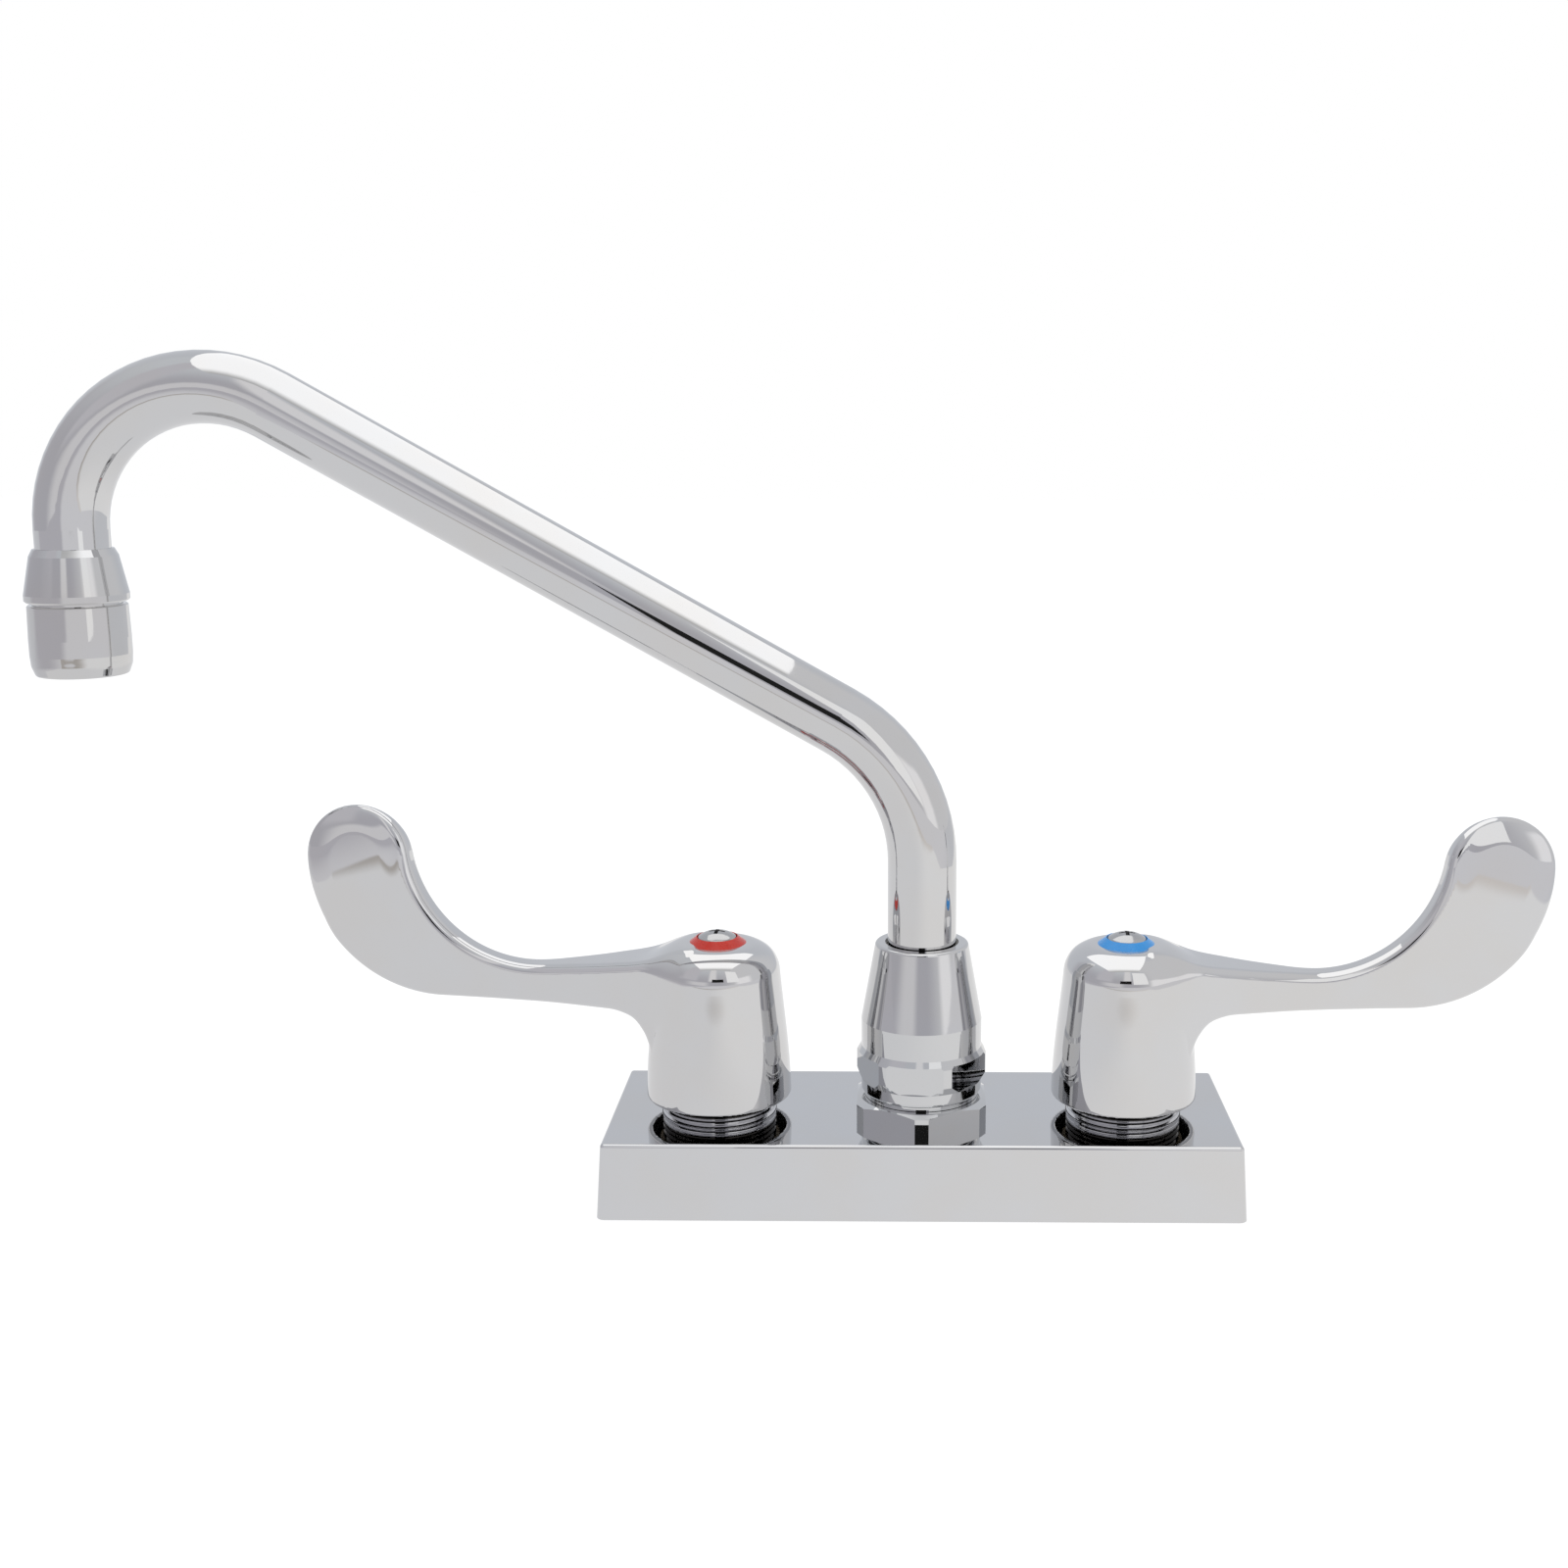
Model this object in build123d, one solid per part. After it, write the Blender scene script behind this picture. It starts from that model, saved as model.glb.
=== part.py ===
from build123d import *
import os
from math import atan2, cos, degrees, radians, sin, tan

os.makedirs("parts", exist_ok=True)

# Two-handle deck-mount faucet, in millimetres.
# The origin is on the spout's swivel axis, in the plane of the base's lower rim.
# +X runs to the cold valve, -Y to the user and +Z up.

# Layout
valve_x = 101.6 / 2
spout_azimuth = 180.0
hot_azimuth = 175.0
cold_azimuth = -1.0

# Base cover, a drafted box that is open below
cover_length = 156.9
cover_depth = 53.8
cover_height = 18.7
cover_middle_y = 1.1
cover_draft = 1.25
cover_wall = 1.6
cover_corner = 2.2
cover_edge = 0.9

# Valve casting inside the cover
chamber_radius = 15.5
inlet_thread_radius = 10.2
inlet_top = 7.2
chamber_floor = 9.2
chamber_bore = 11.2
port_radius = 4.5
bar_width = 14.0
bar_bottom = 2.0
center_boss_radius = 14.0
center_bore = 9.05
center_floor = 3.6
passage_radius = 2.6
passage_outer_height = 12.1
passage_inner_height = 7.0
neck_radius = 14.2
neck_step_radius = 13.4
neck_step_height = 25.2
neck_top = 31.0
thread_pitch = 1.3
thread_depth = 0.5
thread_count = 5

# Spout socket, its lock nut and its union nut
socket_radius = 11.2
socket_bottom = 10.0
socket_top = 38.0
socket_waterway = 6.0
socket_chamber = 8.2
socket_chamber_bottom = 22.0
thread_gap = 0.05
locknut_flats = 32.0
locknut_top = 23.2
locknut_corner_radius = 17.5
collar_bottom = 23.3
collar_foot_radius = 14.2
collar_barrel_radius = 15.0
collar_corner_radius = 16.15
collar_flats = 29.0
collar_flat_turn = -6.8
collar_hex_bottom = 27.5
collar_hex_top = 36.2
collar_cone_bottom = 43.0
collar_top = 62.4
collar_top_radius = 11.5
collar_mouth = 9.1

# Spout tube, bent in one plane
tube_radius = 8.5
tube_wall = 1.0
tube_foot = 41.0
spout_reach = 203.2
rise_angle = 29.3
lower_corner_height = 106.4
lower_bend = 40.5
upper_bend = 33.4
tube_end = 148.5

# Outlet nut and aerator
outlet_nut_top = 158.9
outlet_nut_bottom = 146.3
outlet_nut_radius = 11.8
spigot_radius = 10.0
spigot_bottom = 139.4
aerator_top = 145.6
aerator_bottom = 128.6
aerator_radius = 11.5
washer_bottom = 138.0
screen_bottom = aerator_bottom + 1.0

# Valve cartridge
cartridge_barrel = 9.8
cartridge_cavity = 9.0
cartridge_bottom = 9.9
cavity_top = 21.6
land_bottom = 22.0
land_radius = 11.15
flange_radius = 13.3
flange_top = 33.0
guide_radius = 8.1
guide_top = 43.4
stem_radius = 4.5
stem_bore = 4.55
disc_radius = 8.9
seal_top = 11.5
disc_thickness = 3.0
disc_gap = 0.02
bonnet_radius = 15.0
bonnet_bottom = 25.5
bonnet_top = 35.4
bonnet_flats = 22.0
bonnet_hex_top = 40.6

# Handle hub, arm and paddle
skirt_bottom = 23.1
skirt_radius = 18.1
skirt_break = 29.5
skirt_break_radius = 17.85
hub_top = 62.0
hub_top_radius = 14.84
hub_round = 6.5
skirt_wall = 1.3
cavity_ceiling = 49.0
hub_boss_radius = 7.2
hub_boss_bottom = 44.0
square_size = 6.4
stem_top = 57.0
ring_radius = 7.35
ring_bore = 4.75
ring_bottom = 60.9
ring_top = 62.4
screw_head_radius = 4.7
screw_head_bottom = 62.6
screw_head_top = 65.4
screw_shank_radius = 2.0
screw_bottom = 48.0
arm_edge_round = 2.2


def turned(points):
    """A solid of revolution about Z from (radius, height) corners."""
    return revolve(Plane.XZ * make_face(Polyline(*points, close=True)), Axis.Z)


def tube(outer, inner, bottom, top):
    """A straight sleeve about Z between two heights."""
    return Pos(0, 0, bottom) * extrude(Circle(outer) - Circle(inner), top - bottom)


def rod(radius, bottom, top):
    """A plain round bar about Z between two heights."""
    return Pos(0, 0, bottom) * extrude(Circle(radius), top - bottom)


def hexagon(flats, bottom, top, turn=0):
    """A hexagonal prism about Z, measured across its flats, with one flat facing -Y."""
    outline = RegularPolygon(flats / 2, 6, major_radius=False, rotation=turn)
    return Pos(0, 0, bottom) * extrude(outline, top - bottom)


def torus_ring(major, minor, height):
    """An O-ring about Z."""
    return Pos(0, 0, height) * Torus(major, minor)


def circular_edges(part, radius, height):
    """The round edges of a part that have this radius and lie at this height."""
    rings = part.edges().filter_by(GeomType.CIRCLE)
    return [e for e in rings if abs(e.radius - radius) < 0.01 and abs(e.center().Z - height) < 0.01]


# Base group

def make_base_cover():
    """Drafted cover with its open underside and three holes in the top."""
    taper = degrees(atan2(cover_draft, cover_height))
    outline = RectangleRounded(cover_length, cover_depth, cover_corner)
    shell = extrude(outline, cover_height, taper=taper)
    shell = fillet(shell.faces().sort_by(Axis.Z)[-1].edges(), cover_edge)
    inner_length = cover_length - 2 * cover_wall
    inner_depth = cover_depth - 2 * cover_wall
    hollow = RectangleRounded(inner_length, inner_depth, cover_corner - 0.7)
    shell -= extrude(hollow, cover_height - cover_wall, taper=taper)
    shell = Pos(0, cover_middle_y, 0) * shell
    for x in (-valve_x, valve_x):
        shell -= Pos(x, 0, 0) * rod(neck_radius + 0.15, 0, cover_height + 1)
    return shell - rod(socket_radius + 0.3, 0, cover_height + 1)


def valve_neck():
    """Upper neck of one valve chamber, with the rings of its outside thread."""
    points = [(0, chamber_floor), (neck_radius, chamber_floor)]
    first = cover_height + 0.1
    for turn in range(thread_count):
        root = first + turn * thread_pitch
        points += [
            (neck_radius, root),
            (neck_radius - thread_depth, root + 0.35 * thread_pitch),
            (neck_radius - thread_depth, root + 0.45 * thread_pitch),
            (neck_radius, root + 0.8 * thread_pitch),
        ]
    points += [
        (neck_radius, neck_step_height),
        (neck_step_radius, neck_step_height),
        (neck_step_radius, neck_top),
        (0, neck_top),
    ]
    return turned(points)


def make_valve_casting():
    """One casting: two valve chambers, sloping passages and the spout boss."""
    ceiling = cover_height - cover_wall
    bar_height = ceiling - bar_bottom
    bar = Pos(0, 0, bar_bottom + bar_height / 2) * Box(2 * valve_x, bar_width, bar_height)
    body = bar + rod(center_boss_radius, 0, ceiling) - rod(center_bore, center_floor, ceiling + 1)
    for x in (-valve_x, valve_x):
        body += Pos(x, 0, 0) * (rod(chamber_radius, 0, ceiling) + valve_neck())
    for side in (-1, 1):
        chamber = Pos(side * valve_x, 0, 0)
        body -= chamber * rod(inlet_thread_radius, 0, inlet_top)
        body -= chamber * rod(port_radius, inlet_top - 1, chamber_floor + 1)
        body -= chamber * rod(chamber_bore, chamber_floor, neck_top + 1)
        outer = Vector(side * (valve_x - chamber_bore + 2), 0, passage_outer_height)
        inner = Vector(side * (center_bore - 1.5), 0, passage_inner_height)
        run = outer - inner
        body -= extrude(Plane(origin=inner, z_dir=run) * Circle(passage_radius), run.length)
    return body


def make_spout_socket():
    """Threaded nipple that carries the lock nut and holds the swivel sleeve."""
    ceiling = cover_height - cover_wall
    return turned([
        (socket_waterway, socket_bottom),
        (center_bore - thread_gap, socket_bottom),
        (center_bore - thread_gap, ceiling),
        (socket_radius, ceiling),
        (socket_radius, socket_top - 0.6),
        (socket_radius - 0.6, socket_top),
        (socket_chamber, socket_top),
        (socket_chamber, socket_chamber_bottom),
        (socket_waterway, socket_chamber_bottom - 1.5),
    ])


def make_spout_locknut():
    """Hexagonal lock nut with its six corners cut flat and one corner to the user."""
    nut = hexagon(locknut_flats, cover_height, locknut_top, 30)
    clip = hexagon(2 * locknut_corner_radius, cover_height, locknut_top, 0)
    crown = turned([
        (0, cover_height),
        (locknut_corner_radius + 1.5, cover_height),
        (locknut_corner_radius + 1.5, locknut_top - 1.4),
        (locknut_flats / 2 - 0.4, locknut_top),
        (0, locknut_top),
    ])
    return (nut & clip & crown) - rod(socket_radius + thread_gap, 0, locknut_top + 1)


def make_spout_union_nut():
    """Tall union nut: grooved foot, chamfered wrench hexagon, barrel and long cone."""
    outside = turned([
        (0, collar_bottom),
        (collar_foot_radius, collar_bottom),
        (collar_foot_radius, collar_bottom + 0.9),
        (collar_foot_radius - 0.3, collar_bottom + 1.1),
        (collar_barrel_radius - 0.3, collar_bottom + 1.3),
        (collar_barrel_radius, collar_bottom + 1.8),
        (collar_barrel_radius, collar_hex_bottom),
        (collar_corner_radius, collar_hex_bottom + 2.0),
        (collar_corner_radius, collar_hex_top - 2.0),
        (collar_barrel_radius, collar_hex_top),
        (collar_barrel_radius, collar_cone_bottom),
        (collar_top_radius, collar_top),
        (0, collar_top),
    ])
    outside = fillet(circular_edges(outside, collar_top_radius, collar_top), 0.8)
    flat_bottom = collar_hex_bottom
    flat_top = collar_hex_top - 1.4
    waste = rod(collar_corner_radius + 2, flat_bottom, flat_top)
    waste -= hexagon(collar_flats, flat_bottom - 1, flat_top + 1, collar_flat_turn)
    inside = turned([
        (0, collar_bottom - 1),
        (socket_radius + thread_gap, collar_bottom - 1),
        (socket_radius + thread_gap, 41.9),
        (10.1, 42.0),
        (10.1, collar_top - 1.4),
        (collar_mouth, collar_top - 1.2),
        (collar_mouth, collar_top + 1),
        (0, collar_top + 1),
    ])
    return outside - waste - inside


def make_guide_bushing():
    """Plastic sleeve that steadies the tube in the union nut's mouth."""
    return tube(10.05, tube_radius + 0.08, collar_top - 10.5, collar_top - 1.5)


# Spout group, drawn with the outlet towards +X and then turned to its azimuth

def make_swivel_sleeve():
    """Brass foot of the tube: plug with two seal grooves, thrust flange and cup."""
    plug = socket_chamber - 0.06
    groove = plug - 1.25
    sleeve = turned([
        (5.2, 23.0),
        (plug, 23.0),
        (plug, 26.2),
        (groove, 26.2),
        (groove, 28.2),
        (plug, 28.2),
        (plug, 31.2),
        (groove, 31.2),
        (groove, 33.2),
        (plug, 33.2),
        (plug, socket_top + 0.08),
        (11.0, socket_top + 0.08),
        (11.0, 40.4),
        (9.7, 40.4),
        (9.7, 50.0),
        (tube_radius, 50.0),
        (tube_radius, tube_foot),
        (5.2, tube_foot),
    ])
    return sleeve


def make_spout_o_rings():
    """Two O-rings in the grooves of the swivel sleeve."""
    minor = 0.62
    major = socket_chamber - 0.04 - minor
    return torus_ring(major, minor, 27.2) + torus_ring(major, minor, 32.2)


def make_thrust_washer():
    """Slip ring between the sleeve's flange and the shoulder of the union nut."""
    return tube(11.1, 9.8, 40.5, 41.8)


def spout_path():
    """Centre line of the tube: riser, straight rise and turned-down end."""
    top = lower_corner_height + spout_reach * tan(radians(rise_angle))
    corners = [(0, 0, tube_foot), (0, 0, lower_corner_height), (spout_reach, 0, top)]
    corners.append((spout_reach, 0, tube_end))
    return FilletPolyline(*corners, radius=[lower_bend, upper_bend])


def make_spout_tube():
    """Bent tube of constant bore."""
    path = spout_path()
    section = Pos(0, 0, tube_foot) * Circle(tube_radius)
    bore = Pos(0, 0, tube_foot) * Circle(tube_radius - tube_wall)
    outer = sweep(section, path=path)
    inner = sweep(bore, path=path)
    return outer - inner


def make_outlet_nut():
    """Cone at the tube's end, with the threaded spigot that takes the aerator."""
    nut = turned([
        (tube_radius - tube_wall, spigot_bottom),
        (spigot_radius, spigot_bottom),
        (spigot_radius, outlet_nut_bottom),
        (outlet_nut_radius - 0.4, outlet_nut_bottom),
        (outlet_nut_radius, outlet_nut_bottom + 0.4),
        (outlet_nut_radius, outlet_nut_bottom + 1.8),
        (10.0, outlet_nut_top - 1.7),
        (9.1, outlet_nut_top),
        (tube_radius + 0.02, outlet_nut_top),
        (tube_radius + 0.02, tube_end - 0.02),
        (tube_radius - tube_wall, tube_end - 0.02),
    ])
    return Pos(spout_reach, 0, 0) * nut


def make_aerator_housing():
    """Round cap that screws on the spigot, with a rounded lower edge."""
    housing = turned([
        (spigot_radius + thread_gap, aerator_top),
        (aerator_radius - 0.5, aerator_top),
        (aerator_radius - 0.2, aerator_top - 0.3),
        (aerator_radius, aerator_bottom + 9),
        (aerator_radius, aerator_bottom + 5),
        (aerator_radius - 0.2, aerator_bottom + 2.4),
        (aerator_radius - 1.1, aerator_bottom),
        (8.7, aerator_bottom),
        (8.5, aerator_bottom + 0.4),
        (8.5, screen_bottom),
        (9.5, screen_bottom),
        (9.5, washer_bottom),
        (spigot_radius + thread_gap, washer_bottom),
    ])
    housing = fillet(circular_edges(housing, aerator_radius - 0.2, aerator_bottom + 2.4), 2.5)
    housing = fillet(circular_edges(housing, aerator_radius - 1.1, aerator_bottom), 0.7)
    return Pos(spout_reach, 0, 0) * housing


def make_aerator_washer():
    """Flat rubber washer between the spigot and the aerator's insert."""
    return Pos(spout_reach, 0, 0) * tube(spigot_radius - 0.1, 7.4, washer_bottom, spigot_bottom)


def make_aerator_insert():
    """Plastic flow former: a cup whose floor is pierced by two rings of holes."""
    bottom = screen_bottom + 1.4
    cup = rod(9.4, bottom, washer_bottom - 0.1) - rod(8.0, bottom + 2, washer_bottom + 1)
    holes = Sketch() + PolarLocations(3.0, 6) * Circle(0.9) + PolarLocations(6.0, 12) * Circle(1.0)
    cup -= Pos(0, 0, bottom - 1) * extrude(holes, 5)
    return Pos(spout_reach, 0, 0) * cup


def make_aerator_screen():
    """Lower screen, a thin disc with a square pattern of openings."""
    grid = Sketch() + GridLocations(2.0, 2.0, 9, 9) * Rectangle(1.4, 1.4)
    openings = grid & Circle(7.9)
    screen = rod(9.4, screen_bottom + 0.05, screen_bottom + 0.7)
    screen -= Pos(0, 0, screen_bottom - 0.5) * extrude(openings, 2)
    return Pos(spout_reach, 0, 0) * screen


# Valve groups, drawn on the Z axis and moved to each valve

def sector_pair(inner, outer, span, bottom, top):
    """Two opposite ring sectors, used for the ports of the ceramic discs."""
    width = outer - inner
    section = Plane.XZ * Pos((inner + outer) / 2, (bottom + top) / 2) * Rectangle(width, top - bottom)
    sector = Rot(0, 0, -span / 2) * revolve(section, Axis.Z, revolution_arc=span)
    return sector + Rot(0, 0, 180) * sector


def make_seat_seal():
    """Rubber seal between the chamber floor and the fixed disc."""
    return tube(disc_radius, 5.4, chamber_floor, seal_top)


def make_fixed_disc():
    """Ceramic disc that stays in the cartridge."""
    top = seal_top + disc_thickness
    return rod(disc_radius, seal_top, top) - sector_pair(2.2, 6.8, 80, seal_top - 1, top + 1)


def make_moving_disc():
    """Ceramic disc that the stem turns; its ports lie across the fixed ones when shut."""
    bottom = seal_top + disc_thickness + disc_gap
    top = bottom + disc_thickness
    disc = rod(disc_radius - 0.1, bottom, top)
    disc -= Rot(0, 0, 90) * sector_pair(2.2, 6.8, 80, bottom - 1, top + 1)
    return disc


def make_cartridge_body():
    """Brass headwork: barrel with side windows, sealing land, flange and stem guide."""
    body = turned([
        (cartridge_cavity, cartridge_bottom),
        (cartridge_barrel, cartridge_bottom),
        (cartridge_barrel, land_bottom),
        (land_radius, land_bottom),
        (land_radius, 25.0),
        (land_radius - 1.0, 25.0),
        (land_radius - 1.0, 27.0),
        (land_radius, 27.0),
        (land_radius, neck_top),
        (flange_radius, neck_top),
        (flange_radius, flange_top),
        (guide_radius, flange_top),
        (guide_radius, guide_top),
        (stem_bore, guide_top),
        (stem_bore, cavity_top),
        (cartridge_cavity, cavity_top),
    ])
    window = Pos(0, 0, 18.2) * Box(3 * cartridge_barrel, 7.5, 5.0)
    return body - (window - rod(cartridge_cavity - 0.5, 10, 25))


def make_cartridge_seal():
    """O-ring between the cartridge's land and the chamber."""
    return torus_ring(land_radius - 0.5, 0.5, 26.0)


def make_bonnet_nut():
    """Cap nut that clamps the cartridge's flange to the neck."""
    nut = rod(bonnet_radius, bonnet_bottom, bonnet_top)
    nut = chamfer(circular_edges(nut, bonnet_radius, bonnet_top), 0.6)
    nut += hexagon(bonnet_flats, bonnet_top - 0.5, bonnet_hex_top)
    nut -= rod(neck_step_radius + thread_gap, bonnet_bottom - 1, flange_top)
    return nut - rod(guide_radius + 0.1, flange_top - 1, bonnet_hex_top + 1)


def make_stem():
    """Stem with a driving foot, two seal grooves and a square end tapped for the screw."""
    foot_bottom = seal_top + 2 * disc_thickness + disc_gap
    groove = stem_radius - 1.2
    stem = turned([
        (0, foot_bottom),
        (8.4, foot_bottom),
        (8.4, cavity_top - 0.1),
        (stem_radius, cavity_top - 0.1),
        (stem_radius, 34.0),
        (groove, 34.0),
        (groove, 35.6),
        (stem_radius, 35.6),
        (stem_radius, 38.4),
        (groove, 38.4),
        (groove, 40.0),
        (stem_radius, 40.0),
        (stem_radius, hub_boss_bottom),
        (0, hub_boss_bottom),
    ])
    cut = foot_bottom + (cavity_top - foot_bottom) / 2
    stem -= Pos(0, 0, cut) * Box(20, 7.0, 9) & tube(9, 5.0, foot_bottom - 1, cavity_top)
    square_height = stem_top - hub_boss_bottom + 1
    square = Pos(0, 0, stem_top - square_height / 2) * Box(square_size, square_size, square_height)
    return stem + square - rod(screw_shank_radius + 0.05, screw_bottom - 1, stem_top + 1)


def make_stem_o_rings():
    """Two O-rings on the stem."""
    minor = 0.6
    major = stem_bore - 0.02 - minor
    return torus_ring(major, minor, 34.8) + torus_ring(major, minor, 39.2)


def blade_outline():
    """Front view of arm and paddle in X and Z, closed through the hub."""
    bottom = 46.5
    tip = (90.6, 81.5)
    tip_radius = 13.3
    belly_radius = 34.8
    hollow_center = (46.1, 87.0)
    hollow_radius = 31.5
    lean = atan2(tip[1] - hollow_center[1], tip[0] - hollow_center[0])
    meet = (
        hollow_center[0] + hollow_radius * cos(lean),
        hollow_center[1] + hollow_radius * sin(lean),
    )
    low = (hollow_center[0], hollow_center[1] - hollow_radius)
    tip_side = (tip[0] + tip_radius, tip[1])
    belly_end = (tip_side[0] - belly_radius, bottom)
    mid = lean / 2 - radians(45)
    waist = (
        hollow_center[0] + hollow_radius * cos(mid),
        hollow_center[1] + hollow_radius * sin(mid),
    )
    shoulder = Spline((5.0, 61.9), (11.0, 60.9), (17.0, 58.9), (26.0, 57.4), (36.0, 56.2), low)
    hollow = ThreePointArc(low, waist, meet)
    crown = ThreePointArc(meet, (tip[0], tip[1] + tip_radius), tip_side)
    belly_mid = (
        belly_end[0] + belly_radius * cos(radians(-45)),
        tip[1] + belly_radius * sin(radians(-45)),
    )
    belly = ThreePointArc(tip_side, belly_mid, belly_end)
    under = Line(belly_end, (29.4, 45.5))
    gusset = Spline((29.4, 45.5), (22.4, 43.4), (16.8, 37.0), tangents=[(-1, -0.04), (-0.2, -1)])
    back = Polyline((16.8, 37.0), (5.0, 37.0), (5.0, 61.9))
    return make_face(shoulder + hollow + crown + belly + under + gusset + back)


def blade_plan():
    """Top view of arm and paddle: wide at the hub, a waist, then a slim paddle."""
    stations = [(4.0, 9.2), (16.0, 8.6), (30.0, 6.4), (48.0, 4.5), (72.0, 3.6), (108.0, 3.1)]
    front = Spline(*[(x, -w) for x, w in stations])
    rear = Spline(*[(x, w) for x, w in stations])
    ends = [Line(front @ 0, rear @ 0), Line(front @ 1, rear @ 1)]
    return make_face(front + rear + ends[0] + ends[1])


def make_blade():
    """Arm and paddle: the front view cut through the top view, with rounded edges."""
    slab = extrude(Plane.XZ * blade_outline(), 15, both=True)
    plan = Pos(0, 0, 30) * extrude(blade_plan(), 80)
    blade = slab & plan
    rims = [e for e in blade.edges() if abs(e.center().Y) > 1.5 and e.center().X > 12]
    return fillet(rims, arm_edge_round)


def make_handle():
    """Hub with its hollow skirt, inner boss and square socket, and the blade."""
    side = Spline(
        (skirt_radius, skirt_bottom),
        (skirt_break_radius, skirt_break),
        (hub_top_radius, hub_top),
        tangents=[(-0.01, 1), (-0.1, 1)],
    )
    frame = Polyline((hub_top_radius, hub_top), (0, hub_top), (0, skirt_bottom), (skirt_radius, skirt_bottom))
    hub = revolve(Plane.XZ * make_face(side + frame), Axis.Z)
    hub = fillet(circular_edges(hub, hub_top_radius, hub_top), hub_round)
    handle = hub + make_blade()
    slope = (skirt_break_radius - hub_top_radius) / (hub_top - skirt_break)
    ceiling_radius = hub_top_radius + slope * (hub_top - cavity_ceiling) - skirt_wall
    handle -= turned([
        (0, skirt_bottom - 1),
        (skirt_radius - skirt_wall, skirt_bottom - 1),
        (skirt_radius - skirt_wall, skirt_bottom),
        (ceiling_radius, cavity_ceiling - 2),
        (ceiling_radius - 2, cavity_ceiling),
        (0, cavity_ceiling),
    ])
    handle += rod(hub_boss_radius, hub_boss_bottom, cavity_ceiling + 1)
    socket_depth = stem_top - hub_boss_bottom + 0.3
    socket = Box(square_size + 0.06, square_size + 0.06, socket_depth)
    handle -= Pos(0, 0, hub_boss_bottom + socket_depth / 2) * socket
    handle -= tube(ring_radius + 0.05, ring_bore - 0.1, ring_bottom, hub_top + 1)
    handle += tube(ring_bore - 0.1, screw_shank_radius + 0.2, ring_bottom - 1, screw_head_bottom)
    return handle - rod(screw_shank_radius + 0.2, stem_top - 1, screw_head_bottom + 1)


def make_index_ring():
    """Coloured plastic ring around the screw."""
    ring = tube(ring_radius, ring_bore, ring_bottom, ring_top)
    return chamfer(circular_edges(ring, ring_radius, ring_top), 0.3)


def make_handle_screw():
    """Domed screw with a cross recess."""
    rim = screw_head_bottom + 0.9
    rise = screw_head_top - rim
    dome_radius = (screw_head_radius ** 2 + rise ** 2) / (2 * rise)
    dome = Pos(0, 0, screw_head_top - dome_radius) * Sphere(dome_radius)
    head = rod(screw_head_radius, screw_head_bottom, screw_head_top) & dome
    cross = Box(4.4, 0.9, 3) + Box(0.9, 4.4, 3)
    head -= Pos(0, 0, screw_head_top) * (cross & Pos(0, 0, 1.2) * Sphere(2.9))
    return head + rod(screw_shank_radius, screw_bottom, screw_head_bottom + 0.5)


base_parts = {
    "base_cover": make_base_cover,
    "valve_casting": make_valve_casting,
    "spout_socket": make_spout_socket,
    "spout_locknut": make_spout_locknut,
    "spout_union_nut": make_spout_union_nut,
    "guide_bushing": make_guide_bushing,
}
spout_parts = {
    "swivel_sleeve": make_swivel_sleeve,
    "spout_o_rings": make_spout_o_rings,
    "thrust_washer": make_thrust_washer,
    "spout_tube": make_spout_tube,
    "outlet_nut": make_outlet_nut,
    "aerator_housing": make_aerator_housing,
    "aerator_washer": make_aerator_washer,
    "aerator_insert": make_aerator_insert,
    "aerator_screen": make_aerator_screen,
}
valve_parts = {
    "seat_seal": make_seat_seal,
    "fixed_disc": make_fixed_disc,
    "moving_disc": make_moving_disc,
    "cartridge_body": make_cartridge_body,
    "cartridge_seal": make_cartridge_seal,
    "bonnet_nut": make_bonnet_nut,
    "stem": make_stem,
    "stem_o_rings": make_stem_o_rings,
    "handle": make_handle,
    "index_ring": make_index_ring,
    "handle_screw": make_handle_screw,
}

for name, make in base_parts.items():
    export_step(make(), f"parts/{name}.step")

for name, make in spout_parts.items():
    export_step(Rot(0, 0, spout_azimuth) * make(), f"parts/{name}.step")

for side, x, azimuth in (("hot", -valve_x, hot_azimuth), ("cold", valve_x, cold_azimuth)):
    for name, make in valve_parts.items():
        export_step(Pos(x, 0, 0) * Rot(0, 0, azimuth) * make(), f"parts/{side}_{name}.step")
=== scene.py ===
import math

import bpy
import numpy as np
from mathutils import Matrix, Vector


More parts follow.
